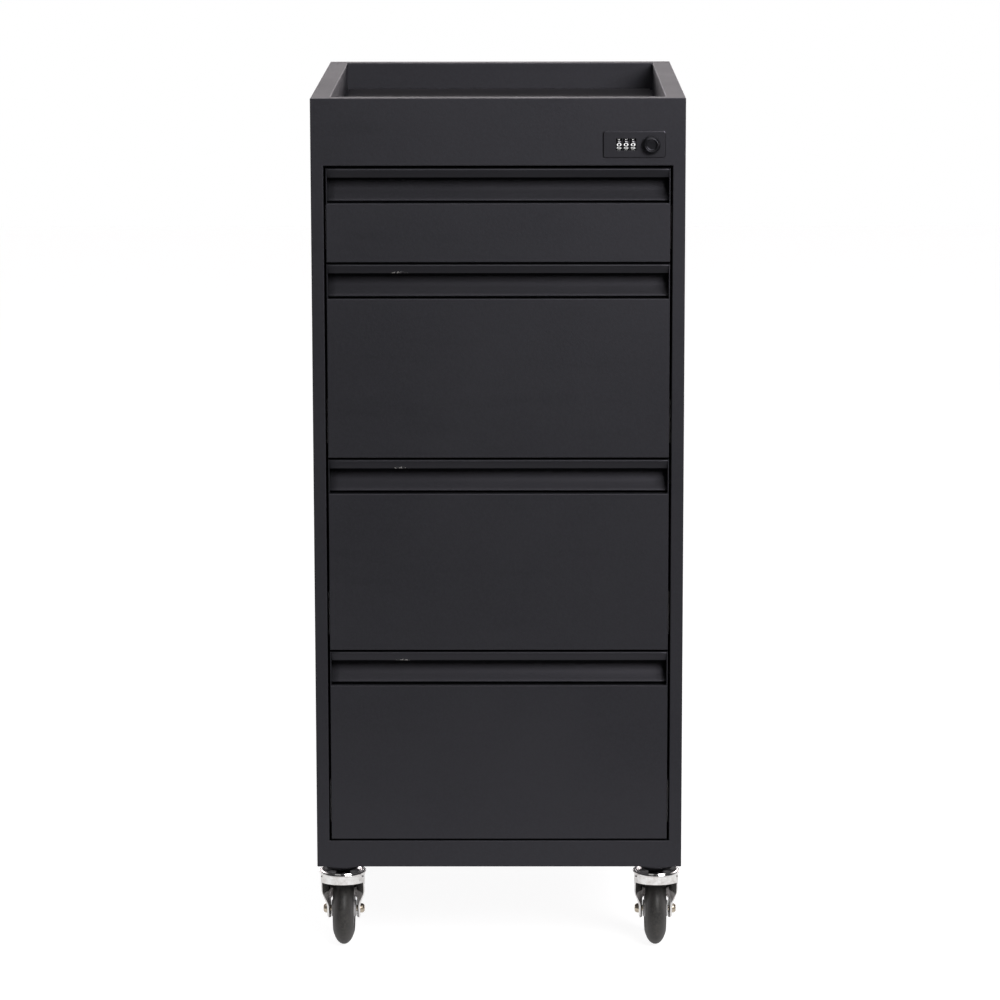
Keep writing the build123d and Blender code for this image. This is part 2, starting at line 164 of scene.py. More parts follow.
def grain_group():
    """Orange peel of a sprayed finish: fine noise on a broader, fainter one."""
    group, inputs, outputs = new_group(
        "sprayed_grain",
        [("Vector", "NodeSocketVector", None), ("Per Metre", "NodeSocketFloat", 1400.0)],
        [("Height", "NodeSocketFloat"), ("Speck", "NodeSocketFloat")],
    )
    fine = noise(group, inputs.outputs["Vector"], inputs.outputs["Per Metre"], 3.0, 0.6)
    broad_scale = maths(group, "MULTIPLY", inputs.outputs["Per Metre"], 0.22)
    broad = noise(group, inputs.outputs["Vector"], broad_scale, 3.0, 0.6)
    height = maths(group, "ADD", fine, maths(group, "MULTIPLY", broad, 2.2))
    group.links.new(height, outputs.inputs["Height"])
    mean = maths(group, "MULTIPLY", maths(group, "ADD", fine, broad), 0.5)
    group.links.new(ramp(group, mean, 0.42, 0.6), outputs.inputs["Speck"])
    return group


def handling_group():
    """Broad uneven patches and faint wiped streaks, as hands and cloths leave them."""
    group, inputs, outputs = new_group(
        "handling_marks",
        [("Vector", "NodeSocketVector", None), ("Patch Per Metre", "NodeSocketFloat", 6.0)],
        [("Patches", "NodeSocketFloat"), ("Streaks", "NodeSocketFloat")],
    )
    patches = noise(group, inputs.outputs["Vector"], inputs.outputs["Patch Per Metre"], 3.0)
    group.links.new(ramp(group, patches, 0.35, 0.7), outputs.inputs["Patches"])
    stretch = add(group, "ShaderNodeMapping")
    stretch.inputs["Scale"].default_value = (3.0, 3.0, 26.0)
    stretch.inputs["Rotation"].default_value = (0.1, 0.25, 0.0)
    group.links.new(inputs.outputs["Vector"], stretch.inputs["Vector"])
    streaks = noise(group, stretch.outputs["Vector"], 3.0, 4.0, 0.6)
    group.links.new(ramp(group, streaks, 0.55, 0.8), outputs.inputs["Streaks"])
    return group


def dust_group():
    """Dust that settles low down: more of it near the floor, broken up by noise."""
    group, inputs, outputs = new_group(
        "floor_dust",
        [("Vector", "NodeSocketVector", None), ("Reach", "NodeSocketFloat", 0.08)],
        [("Dust", "NodeSocketFloat")],
    )
    split = add(group, "ShaderNodeSeparateXYZ")
    group.links.new(inputs.outputs["Vector"], split.inputs[0])
    height = maths(group, "DIVIDE", split.outputs["Z"], inputs.outputs["Reach"])
    low = maths(group, "SUBTRACT", 1.0, height, clamp=True)
    speckle = noise(group, inputs.outputs["Vector"], 420.0, 5.0, 0.65)
    broken = ramp(group, speckle, 0.38, 0.66)
    group.links.new(maths(group, "MULTIPLY", low, broken), outputs.inputs["Dust"])
    return group


VIOLET_SHEEN = (0.9, 0.86, 1.0, 1.0)
SPRAYED_GRAIN = grain_group()
HANDLING_MARKS = handling_group()
FLOOR_DUST = dust_group()


# ------------------------------------------------------------------- materials

def material(name, **shader_settings):
    """A material with a Principled BSDF, and its tree, its shader and object coordinates."""
    made = bpy.data.materials.new(name)
    made.use_nodes = True
    tree = made.node_tree
    shader = tree.nodes["Principled BSDF"]
    for key, value in shader_settings.items():
        shader.inputs[key.replace("_", " ")].default_value = value
    where = add(tree, "ShaderNodeTexCoord").outputs["Object"]
    return made, tree, shader, where


def use_group(tree, group, vector, **values):
    """A node of a shader group, fed with a vector and with constants on its other inputs."""
    node = add(tree, "ShaderNodeGroup", node_tree=group)
    for key, value in values.items():
        node.inputs[key.replace("_", " ")].default_value = value
    tree.links.new(vector, node.inputs["Vector"])
    return node


def bump(tree, shader, height, strength, depth):
    """Joins a height to the shader's normal."""
    node = add(tree, "ShaderNodeBump", Strength=strength, Distance=depth)
    tree.links.new(height, node.inputs["Height"])
    tree.links.new(node.outputs["Normal"], shader.inputs["Normal"])


def grey(level, warmth=0.0):
    """A near-neutral colour; warmth above 0 leans to red, below 0 to violet blue."""
    return (level * (1 + warmth), level, level * (1 - warmth * 0.6) + max(0, -warmth) * level, 1.0)


def powder_coat(name, level, roughness, per_metre=1500.0, strength=0.3):
    """Matte black powder coat: fine grain, specks between the grains, faint handling."""
    made, tree, shader, where = material(name, Specular_IOR_Level=0.58, Specular_Tint=VIOLET_SHEEN)
    grain = use_group(tree, SPRAYED_GRAIN, where, Per_Metre=per_metre)
    marks = use_group(tree, HANDLING_MARKS, where, Patch_Per_Metre=7.0)
    plain = blend_colours(tree, marks.outputs["Patches"], grey(level, -0.08),
                          grey(level * 1.35, -0.05))
    specked = blend_colours(tree, grain.outputs["Speck"], plain, grey(level * 1.7, -0.08))
    tree.links.new(specked, shader.inputs["Base Color"])
    wiped = maths(tree, "MULTIPLY", marks.outputs["Streaks"], -0.06)
    patchy = maths(tree, "MULTIPLY", marks.outputs["Patches"], 0.05)
    rough = maths(tree, "ADD", maths(tree, "ADD", wiped, roughness), patchy)
    tree.links.new(rough, shader.inputs["Roughness"])
    bump(tree, shader, grain.outputs["Height"], strength, GRAIN_DEPTH)
    return made


def worn_coat(name, level, roughness):
    """Powder coat on the finger pulls, chipped to bright steel at a few spots on the lip.

    The pull's own UV map has U along it and V from the lip's foot, both in metres.
    """
    made, tree, shader, where = material(name, Specular_IOR_Level=0.46, Specular_Tint=VIOLET_SHEEN)
    grain = use_group(tree, SPRAYED_GRAIN, where, Per_Metre=1500.0)
    marks = use_group(tree, HANDLING_MARKS, where, Patch_Per_Metre=9.0)
    plain = blend_colours(tree, marks.outputs["Patches"], grey(level, -0.08),
                          grey(level * 1.4, -0.05))
    chart = add(tree, "ShaderNodeUVMap", uv_map="UVMap").outputs["UV"]
    split = add(tree, "ShaderNodeSeparateXYZ")
    tree.links.new(chart, split.inputs[0])
    up_lip = maths(tree, "DIVIDE", split.outputs["Y"], 0.0028)
    foot = maths(tree, "SUBTRACT", 1.0, up_lip, clamp=True)
    spot = maths(tree, "ABSOLUTE", maths(tree, "SUBTRACT", split.outputs["X"], -0.099), 0.0)
    near = maths(tree, "SUBTRACT", 1.0, maths(tree, "DIVIDE", spot, 0.012), clamp=True)
    ragged = ramp(tree, noise(tree, where, 620.0, 4.0, 0.7), 0.52, 0.56)
    chip = maths(tree, "MULTIPLY", maths(tree, "MULTIPLY", foot, near), ragged)
    chip = ramp(tree, chip, 0.22, 0.3)
    tree.links.new(blend_colours(tree, chip, plain, grey(0.42, 0.04)), shader.inputs["Base Color"])
    rough = maths(tree, "ADD", maths(tree, "MULTIPLY", marks.outputs["Streaks"], -0.05), roughness)
    tree.links.new(rough, shader.inputs["Roughness"])
    tree.links.new(maths(tree, "MULTIPLY", chip, 0.8), shader.inputs["Metallic"])
    bump(tree, shader, grain.outputs["Height"], 0.3, GRAIN_DEPTH)
    return made


def moulded(name, level, roughness, per_metre=2600.0, strength=0.12, warmth=0.0):
    """Moulded plastic or rubber with a fine spark texture and slightly uneven gloss."""
    made, tree, shader, where = material(name, Specular_IOR_Level=0.5, Specular_Tint=VIOLET_SHEEN)
    grain = use_group(tree, SPRAYED_GRAIN, where, Per_Metre=per_metre)
    marks = use_group(tree, HANDLING_MARKS, where, Patch_Per_Metre=30.0)
    colour = blend_colours(tree, marks.outputs["Patches"], grey(level, warmth),
                           grey(level * 1.25, warmth))
    tree.links.new(colour, shader.inputs["Base Color"])
    uneven = maths(tree, "MULTIPLY", marks.outputs["Streaks"], 0.1)
    tree.links.new(maths(tree, "ADD", uneven, roughness), shader.inputs["Roughness"])
    bump(tree, shader, grain.outputs["Height"], strength, 0.0001)
    return made


def dusty_rubber(name, level, reach):
    """Wheel rubber: dark, scuffed and greyed with dust towards the floor."""
    made, tree, shader, where = material(name, Specular_IOR_Level=0.4)
    dust = use_group(tree, FLOOR_DUST, where, Reach=reach)
    grain = use_group(tree, SPRAYED_GRAIN, where, Per_Metre=900.0)
    marks = use_group(tree, HANDLING_MARKS, where, Patch_Per_Metre=60.0)
    plain = blend_colours(tree, marks.outputs["Patches"], grey(level, 0.02), grey(level * 2.0, 0.06))
    tree.links.new(blend_colours(tree, dust.outputs["Dust"], plain, grey(level * 4.5, 0.12)),
                   shader.inputs["Base Color"])
    dusty = maths(tree, "MULTIPLY", dust.outputs["Dust"], 0.25)
    tree.links.new(maths(tree, "ADD", dusty, 0.48), shader.inputs["Roughness"])
    bump(tree, shader, grain.outputs["Height"], 0.2, 0.0002)
    return made


def plated(name, colour, roughness, tarnish, spread=0.12, per_metre=160.0):
    """Plated metal: bright, with faint cloudy tarnish and hairline polishing marks."""
    made, tree, shader, where = material(name, Metallic=1.0)
    marks = use_group(tree, HANDLING_MARKS, where, Patch_Per_Metre=per_metre)
    shown = blend_colours(tree, marks.outputs["Patches"], colour, tarnish)
    tree.links.new(shown, shader.inputs["Base Color"])
    cloudy = maths(tree, "MULTIPLY", marks.outputs["Patches"], spread)
    streaky = maths(tree, "MULTIPLY", marks.outputs["Streaks"], spread)
    tree.links.new(maths(tree, "ADD", maths(tree, "ADD", cloudy, streaky), roughness),
                   shader.inputs["Roughness"])
    fine = use_group(tree, SPRAYED_GRAIN, where, Per_Metre=700.0)
    bump(tree, shader, fine.outputs["Height"], 0.03, 0.0001)
    return made


def drawn_steel(name, level, roughness):
    """Zinc-plated rolled strip: long draw lines from front to back, and spangle."""
    made, tree, shader, where = material(name, Metallic=1.0)
    stretch = add(tree, "ShaderNodeMapping")
    stretch.inputs["Scale"].default_value = (900.0, 6.0, 900.0)
    tree.links.new(where, stretch.inputs["Vector"])
    lines = noise(tree, stretch.outputs["Vector"], 1.0, 4.0, 0.6)
    spangle = noise(tree, where, 90.0, 2.0)
    colour = blend_colours(tree, ramp(tree, spangle, 0.35, 0.65), grey(level, 0.01),
                           grey(level * 0.8, -0.02))
    tree.links.new(colour, shader.inputs["Base Color"])
    lined = maths(tree, "MULTIPLY", lines, 0.2)
    tree.links.new(maths(tree, "ADD", lined, roughness), shader.inputs["Roughness"])
    bump(tree, shader, lines, 0.12, 0.0001)
    return made


def printed_white(name):
    """Paint of the numerals, a little worn, blacked out by painted shade where the dial turns away,
    and given a faint glow of painted light.
    """
    # Emission Strength 0.3 fed with the numeral colour: painted light that makes the numerals glow
    made, tree, shader, where = material(name, Roughness=0.45, Emission_Strength=0.3)
    wear = ramp(tree, noise(tree, where, 2600.0, 3.0), 0.3, 0.5)
    white = blend_colours(tree, wear, grey(0.6), grey(0.9))
    facing = add(tree, "ShaderNodeLayerWeight").outputs["Facing"]
    # Painted shade: numerals fade to black at grazing angles, standing in for the shade inside the
    # lock window
    painted_shade_turned_away = ramp(tree, facing, 0.33, 0.42)
    shown = blend_colours(tree, painted_shade_turned_away, white, grey(0.01))
    tree.links.new(shown, shader.inputs["Base Color"])
    tree.links.new(shown, shader.inputs["Emission Color"])
    return made


FINISH = {
    "powder_coat": powder_coat("powder_coat_black", 0.005, 0.5),
    "pull_coat": worn_coat("powder_coat_pull", 0.005, 0.5),
    "box_coat": powder_coat("powder_coat_inside", 0.014, 0.52, per_metre=1200.0),
    "mat_rubber": moulded("mat_rubber", 0.005, 0.5, per_metre=1400.0, strength=0.3,
                          warmth=0.08),
    "zinc_steel": drawn_steel("zinc_strip", 0.58, 0.3),
    "lock_plastic": moulded("lock_plastic", 0.006, 0.5, warmth=-0.06),
    "knob_plastic": moulded("knob_plastic", 0.005, 0.3, strength=0.04, warmth=-0.06),
    "dial_plastic": moulded("dial_plastic", 0.002, 0.3, strength=0.02),
    "black_steel": powder_coat("black_steel", 0.004, 0.42, per_metre=1100.0),
    "chrome": plated("chrome_plate", grey(0.9, 0.01), 0.08, grey(0.72, 0.05)),
    "wheel_rubber": dusty_rubber("wheel_rubber", 0.012, 0.085),
    "hub_plastic": moulded("hub_plastic", 0.36, 0.42, warmth=0.02),
    "bolt_steel": plated("bolt_plate", (0.62, 0.55, 0.45, 1.0), 0.22, (0.4, 0.33, 0.25, 1.0),
                         per_metre=260.0),
}
NUMERALS = printed_white("numeral_paint")


def paint(thing, finish):
    """Gives an object that finish all over, in one slot."""
    thing.data.materials.clear()
    thing.data.materials.append(finish)


# -------------------------------------------------------------------- geometry

def settle(name, mesh, node, finish=None, replace=True):
    """Links a finished mesh as a piece that stands for, or goes with, a CAD node."""
    piece = bpy.data.objects.new(name, mesh)
    bpy.context.scene.collection.objects.link(piece)
    paint(piece, finish or FINISH[slot_of[node]])
    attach(piece, body_of[node])
    if replace:
        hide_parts(node)
    return piece


def tidy_mesh(mesh, sharp=35.0, recalculate=True):
    """Merges seams and poles, points faces outwards and keeps creases over the sharp angle."""
    work = bmesh.new()
    work.from_mesh(mesh)
    bmesh.ops.remove_doubles(work, verts=work.verts, dist=MERGE_WITHIN)
    if recalculate:
        bmesh.ops.recalc_face_normals(work, faces=work.faces)
    work.to_mesh(mesh)
    work.free()
    mesh.shade_smooth()
    mesh.set_sharp_from_angle(angle=radians(sharp))
    return mesh


def grid_mesh(name, points, wrap_rows=False, wrap_columns=False, chart=None):
    """Quads over a (rows, columns, 3) array of points; chart is a (rows, columns, 2) UV map."""
    rows, columns = points.shape[:2]
    index = np.arange(rows * columns).reshape(rows, columns)
    if wrap_rows:
        index = np.vstack([index, index[:1]])
    if wrap_columns:
        index = np.hstack([index, index[:, :1]])
    corners = [index[:-1, :-1], index[:-1, 1:], index[1:, 1:], index[1:, :-1]]
    quads = np.stack(corners, -1).reshape(-1, 4)
    mesh = bpy.data.meshes.new(name)
    mesh.from_pydata(points.reshape(-1, 3), [], quads.tolist())
    if chart is not None:
        layer = mesh.uv_layers.new(name="UVMap")
        per_corner = chart.reshape(-1, 2)[quads.reshape(-1)]
        layer.data.foreach_set("uv", per_corner.astype(np.float32).ravel())
    return mesh


def rounded(corners, radii, steps=6):
    """A polyline whose corners are arcs: at each corner, the arc that touches both runs."""
    corners = np.array(corners, float)
    radii = np.broadcast_to(radii, len(corners))
    path = [corners[:1]]
    for before, at, after, radius in zip(corners[:-2], corners[1:-1], corners[2:], radii[1:-1]):
        toward_before = (before - at) / np.linalg.norm(before - at)
        toward_after = (after - at) / np.linalg.norm(after - at)
        half = np.arccos(np.clip(toward_before @ toward_after, -1, 1)) / 2
        if radius <= 0 or half > pi / 2 - 0.02:
            path.append(at[None])
            continue
        reach = radius / np.tan(half)
        bisector = (toward_before + toward_after) / np.linalg.norm(toward_before + toward_after)
        centre = at + bisector * radius / np.sin(half)
        start = at + toward_before * reach - centre
        end = at + toward_after * reach - centre
        span = np.arccos(np.clip(start @ end / radius**2, -1, 1))
        share = np.linspace(0, 1, steps)[:, None]
        arc = (np.sin((1 - share) * span) * start + np.sin(share * span) * end) / np.sin(span)
        path.append(centre + arc)
    path.append(corners[-1:])
    return np.vstack(path)


def turned(profile, segments=96):
    """A (radius, height) profile in metres turned about Z: (r cos a, r sin a, h)."""
    angle = np.linspace(0, 2 * pi, segments, endpoint=False)[:, None]
    radius, height = np.asarray(profile)[:, 0], np.asarray(profile)[:, 1]
    return np.stack([radius * np.cos(angle), radius * np.sin(angle), height + 0 * angle], -1)


def to_x(points):
    """Turns what was built about Z so that it lies about X."""
    return points[..., [2, 0, 1]]


def to_front(points):
    """Turns what was built up along Z so that it points to the front."""
    return points[..., [0, 2, 1]] * np.array([1.0, -1.0, 1.0])


def eased(node, width, choose, cuts=()):
    """A copy of a CAD sheet whose chosen edges are bent round instead of sharp.

    choose(middle, direction) says yes to an edge, with its middle point and unit direction.
    cuts are X values where edges are split first, so that only a part of one is chosen.
    """
    mesh = nodes[node].data.copy()
    mesh.name = node + "_eased"
    work = bmesh.new()
    work.from_mesh(mesh)
    bmesh.ops.remove_doubles(work, verts=work.verts, dist=SHEET_MERGE_WITHIN)
    bmesh.ops.dissolve_limit(work, angle_limit=radians(0.5), verts=work.verts, edges=work.edges)
    for x in cuts:
        every = [*work.verts, *work.edges, *work.faces]
        bmesh.ops.bisect_plane(work, geom=every, plane_co=(x, 0, 0), plane_no=(1, 0, 0),
                               dist=MERGE_WITHIN)
    picked = []
    for edge in work.edges:
        if len(edge.link_faces) != 2 or edge.calc_face_angle(0.0) < radians(30):
            continue
        start, end = (np.array(vertex.co) for vertex in edge.verts)
        if choose((start + end) / 2, (end - start) / np.linalg.norm(end - start)):
            picked.append(edge)
    bmesh.ops.bevel(work, geom=picked, offset=width, segments=EASE_SEGMENTS, profile=0.5,
                    affect="EDGES")
    work.to_mesh(mesh)
    work.free()
    if "custom_normal" in mesh.attributes:
        mesh.attributes.remove(mesh.attributes["custom_normal"])
    mesh.shade_flat()
    return settle(mesh.name, mesh, node)


def near(value, target):
    return abs(value - target) < NEAR_ENOUGH


def fold_sheet(piece, thickness, hem_width):
    """Gives an open surface its thickness, half to each side, and eases the cut edges."""
    wall = piece.modifiers.new("sheet", "SOLIDIFY")
    wall.thickness, wall.offset = thickness, 0.0
    hem = piece.modifiers.new("hem", "BEVEL")
    hem.width, hem.segments, hem.limit_method = hem_width, 2, "ANGLE"
    hem.angle_limit = radians(50)


# ---------------------------------------------------------------------- pieces

body_low = np.array(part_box("side_panel_left")[0])
body_high = np.array(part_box("side_panel_right")[1])
front_y, back_y = body_low[1], body_high[1]


def side_skin(node, outer_x):
    """Side panel with its upright corners and bottom edge bent round."""
    def choose(middle, along):
        at_corner = near(middle[1], front_y) or near(middle[1], back_y)
        upright = near(middle[0], outer_x) and at_corner
        inner_stile = (abs(along[2]) > 0.9 and near(middle[1], front_y)
                       and abs(middle[0]) < abs(outer_x) - INNER)
        foot = near(middle[0], outer_x) and near(middle[2], body_low[2])
        return upright or inner_stile or foot
    eased(node, SHEET_HEM, choose)


def make_body():
    """Panels, fascia, plinth, tray and mat, with the edges that show bent round or eased."""
    side_skin("side_panel_left", body_low[0])
    side_skin("side_panel_right", body_high[0])
    liner_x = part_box("side_liner_right")[0][0]
    for node, level in (
        ("front_fascia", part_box("front_fascia")[0][2]),
        ("plinth_rail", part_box("plinth_rail")[1][2]),
    ):
        def choose(middle, along, level=level):
            return (near(middle[1], front_y) and near(middle[2], level)
                    and abs(middle[0]) < liner_x)
        eased(node, SHEET_HEM, choose, cuts=(-liner_x, liner_x))
    tray_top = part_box("top_tray")[1][2]
    def tray_fold(middle, along):
        return (near(middle[2], tray_top) and abs(middle[0]) < body_high[0] - INNER
                and abs(middle[1]) < back_y - INNER)
    eased("top_tray", TRAY_FOLD, tray_fold)
    mat_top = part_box("tray_mat")[1][2]
    def mat_edge(middle, along):
        return near(middle[2], mat_top) or abs(along[2]) > 0.9
    eased("tray_mat", MAT_EDGE, mat_edge)


def pull_section():
    """Side view of a pull as (behind, drop) in metres: lip, flange, wall, nose, shelf and tail.

    The wall is a chord with a bow of sag * 4 t (1 - t) to its side, t from 0 to 1 along it.
    """
    depth, lip, lean, nose, nose_drop, sag = 22.8, 9.0, 3.2, 7.9, 33.3, 3.5
    shelf_drop, tail_drop = 35.2, 58.0
    chord = np.array([nose - depth, -nose_drop])
    share = np.linspace(0, 1, 28)[:, None]
    normal = np.array([-chord[1], chord[0]]) / np.linalg.norm(chord)
    wall = np.array([depth, 0.0]) + chord * share + normal * sag * 4 * share * (1 - share)
    front = rounded([(lean, -lip), (0.3, -0.3), (depth, 0.0), wall[3]], [0, 1.1, 1.2, 0],
                    steps=8)
    end = rounded([wall[-4], (nose, -nose_drop), (depth, -shelf_drop), (depth, -tail_drop)],
                  [0, 0.9, 1.2, 0], steps=8)
    return np.vstack([front[:-1], wall[3:-3], end[1:]]) * MM


def make_pull(n):
    """The folded pull: the same section carried across the drawer from end cap to end cap.

    The top pull isn't chipped, so its map starts well past the chipped stretch.
    """
    unworn = 1.0 if n == 1 else 0.0
    low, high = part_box(f"drawer_{n}_pull")
    section = pull_section()
    across = np.linspace(low[0], high[0], 40)[:, None]
    points = np.stack([
        across + 0 * section[:, 0],
        front_y + PULL_SHEET / 2 + section[:, 0] + 0 * across,
        high[2] - PULL_SHEET / 2 + section[:, 1] + 0 * across,
    ], -1)
    steps = np.linalg.norm(np.diff(section, axis=0), axis=1)
    run = np.concatenate([[0], np.cumsum(steps)])
    chart = np.stack([across + unworn + 0 * run, run + 0 * across], -1)
    mesh = tidy_mesh(grid_mesh(f"pull_{n}", points, chart=chart), recalculate=False)
    mesh.flip_normals()
    piece = settle(f"drawer_{n}_pull_folded", mesh, f"drawer_{n}_pull")
    fold_sheet(piece, PULL_SHEET, PULL_HEM)


def make_drawer(n):
    """A drawer's front with its outer edges bent round, and its pull."""
    low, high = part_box(f"drawer_{n}_front")
    def choose(middle, along):
        side_edge = near(abs(middle[0]), high[0]) and abs(along[2]) > 0.9
        return near(middle[1], low[1]) and (side_edge or near(middle[2], low[2]))
    eased(f"drawer_{n}_front", DRAWER_HEM, choose)
    make_pull(n)


def swivel_place(n):
    """A point on a caster's swivel axis, and the middle of its wheel."""
    joints = {joint["name"]: joint for joint in frame["joints"]}
    return [np.array(joints[name]["pos_m"]) for name in (f"caster_{n}_swivel", f"wheel_{n}_roll")]


def fork_hood():
    """Crown dish and skirt. Angle a runs round the axis; the skirt's foot is lowest at the sides.

    foot(a) = 71 at the sides, rising quickly to 76.4 at the front and 80.4 at the back, in mm.
    """
    angle = np.linspace(0, 2 * pi, 120, endpoint=False)
    forward = -np.sin(angle)
    rise = np.where(forward > 0, 5.4 * np.abs(forward) ** 0.3, 9.4 * np.abs(forward) ** 0.7)
    foot = 71 + rise
    top = rounded([(5.2, 84.2), (18.6, 84.2), (20.2, 87.8), (21.8, 88.4), (22.4, 86.6),
                   (23.2, 86.4), (24.3, 87.4), (24.4, 85.2), (22.9, 84.2), (22.9, 82.5)],
                  [0, 1, 0.6, 0.5, 0.4, 0.4, 0.5, 0.6, 0.6, 0], steps=5)
    outer = np.array([(22.9, share) for share in np.linspace(0, 1, 8)])
    inner = np.array([(21.1, 1 - share) for share in np.linspace(0, 1, 8)])
    under = np.array([(20.5, 82.4), (5.2, 82.4), (5.2, 84.2)])
    columns = []
    for profile, shaped in ((top, False), (outer[1:], True), (inner[:-1], True), (under, False)):
        x = profile[None, :, 0] * np.cos(angle)[:, None]
        y = profile[None, :, 0] * np.sin(angle)[:, None]
        z = np.broadcast_to(profile[None, :, 1], x.shape)
        if shaped:
            z = 82.5 + (foot[:, None] - 82.5) * z
        columns.append(np.stack([x, y, z], -1))
    return np.concatenate(columns, axis=1) * MM


def fork_leg(side):
    """One leg as a bent plate. Parameter u runs down it and v from its back edge to its front edge.

    The back half lies flat beside the wheel and the front half flares out, by 7.4 mm at the
    crown and 1.8 mm at the axle; above the axle the back edge is bent in towards the tyre, and
    below it both edges close on a circle.
    """
    crown, axle, foot_radius, trail = 82, 37.5, 9.2, 26
    foot = axle - foot_radius * np.sin(np.linspace(0.08, pi / 2, 12))
    height = np.concatenate([np.linspace(crown, axle, 34), foot])
    drop = (crown - height) / (crown - axle)
    down = np.clip(drop, 0, 1)
    below_axle = np.minimum(height - axle, 0)
    round_foot = np.sqrt(np.clip(foot_radius**2 - below_axle**2, 0.02, None))
    above_axle = height >= axle
    front_edge = np.where(above_axle, -9.5 + 26.3 * down**0.85, trail - round_foot)
    back_edge = np.where(above_axle, 12.5 + 22.7 * down**1.1, trail + round_foot)
    across = np.linspace(0, 1, 16)
    ease = np.clip((drop - 0.42) / 0.5, 0, 1)
    flare = 7.4 - 5.6 * ease**2 * (3 - 2 * ease)
    bulge = np.clip((across - 0.45) / 0.55, 0, 1) ** 1.6
    bent_part = np.clip((height[:, None] - 48) / 4, 0, 1)
    inward = np.clip((0.16 - across) / 0.1, 0, 1) * bent_part
    x = 14.6 + flare[:, None] * bulge - 3.0 * inward
    y = back_edge[:, None] + (front_edge - back_edge)[:, None] * across
    return np.stack([side * x, y, height[:, None] + 0 * x], -1) * MM


def make_stem_domes():
    """Black pressed dome over each stem's flange: a flat-topped bowl, widest against the body."""
    bowl = rounded([(0, 83.7), (8, 83.7), (8, 86.2), (5, 86.4), (5, 89.1), (15.5, 89.1),
                    (19.6, 93.5), (20.6, 99.95), (0, 99.95)],
                   [0, 0.4, 0.3, 0.2, 0.2, 2.6, 3.5, 0.3, 0], steps=5) * MM
    for n in CASTERS:
        axis, _ = swivel_place(n)
        points = turned(bowl) + np.array([axis[0], axis[1], 0.0])
        mesh = tidy_mesh(grid_mesh("dome", points, wrap_rows=True))
        settle(f"caster_{n}_dome", mesh, "caster_stems", replace=n == 1)


def place_caster(points, n):
    """Moves a caster's own points to its place, half a turn round where it trails forward."""
    axis, wheel = swivel_place(n)
    turn = 1.0 if wheel[1] > axis[1] else -1.0
    return points * np.array([turn, turn, 1.0]) + np.array([axis[0], axis[1], 0.0])


def make_fork(n):
    """A caster's fork: the crown stands for the CAD fork, and the two legs go with it."""
    hood = grid_mesh("hood", place_caster(fork_hood(), n), wrap_rows=True, wrap_columns=True)
    settle(f"caster_{n}_fork_crown", tidy_mesh(hood), f"caster_{n}_fork")
    for side, label in ((-1, "left"), (1, "right")):
        leg = grid_mesh("leg", place_caster(fork_leg(side), n))
        tidy_mesh(leg, recalculate=False)
        piece = settle(f"caster_{n}_leg_{label}", leg, f"caster_{n}_fork", replace=False)
        fold_sheet(piece, LEG_SHEET, LEG_HEM)


def axle_section():
    """Half of the axle bolt from its middle outwards: shank, washer and a domed nut."""
    half = rounded([(3.0, 0), (3.0, 15.9), (5.4, 15.9), (5.4, 16.9), (4.9, 16.9), (4.9, 19.4),
                    (3.6, 21.4), (0, 21.7)], [0, 0, 0.3, 0.2, 0, 0.8, 1.4, 0], steps=5)
    return np.vstack([half[::-1] * [1, -1], half[1:]]) * MM


def tyre_section():
    """Part of an ellipse on the hub: radius 15.5 + 22 cos t, width 12 sin t, in millimetres.

    Four mould lines are cut in it, each as deep as a bell curve of the distance from it.
    """
    hub_radius, middle, tall, half_width = 24.05, 15.5, 22, 12
    reach = np.arccos((hub_radius - middle) / tall)
    t = np.linspace(-reach, reach, 60)
    radius = middle + tall * np.cos(t)
    across = half_width * np.sin(t)
    ring = 0.35 * np.exp(-((np.abs(across) - 9.6) / 0.45) ** 2)
    seam = 0.12 * np.exp(-((np.abs(across) - 0.8) / 0.25) ** 2)
    outer = np.stack([radius - ring - seam, across], -1)
    inner = [(hub_radius, across[-1] - 0.01), (hub_radius, across[0] + 0.01)]
    return np.vstack([outer, inner]) * MM


def hub_section():
    """Boss on the axle, a dished web and the rim under the tyre."""
    half = rounded([(4.3, 13), (8.6, 13), (9.4, 6.5), (12, 4.6), (18, 4.6), (20.4, 9.9),
                    (24, 9.9)], [0, 1, 2, 2, 2.5, 0.8, 0], steps=6)
    return np.vstack([half, half[::-1] * [1, -1]]) * MM


def make_wheel(n):
    """A caster's tyre, hub and axle bolt, turned about X through the wheel's middle."""
    _, wheel = swivel_place(n)
    for label, section, node in (("tyre", tyre_section(), "tyre"), ("hub", hub_section(), "hub")):
        points = to_x(turned(section, 128)) + wheel
        mesh = tidy_mesh(grid_mesh(label, points, wrap_rows=True, wrap_columns=True), sharp=50)
        settle(f"caster_{n}_{label}_turned", mesh, f"caster_{n}_{node}")
    bolt = grid_mesh("axle", to_x(turned(axle_section(), 60)) + wheel, wrap_rows=True)
    settle(f"caster_{n}_axle_bolt", tidy_mesh(bolt), f"caster_{n}_axle")


def knob_section():
    """Round knob: skirt, rounded shoulder, a raised ring and a dished middle, up from the plate."""
    return rounded([(0, 0.2), (9, 0.2), (8.95, 4.2), (6.7, 7.6), (5.9, 7.6), (5.2, 6.2),
                    (4.3, 5.6), (0, 5.5)], [0, 0.3, 2.2, 0.7, 0.4, 0.5, 0.8, 0], steps=6) * MM


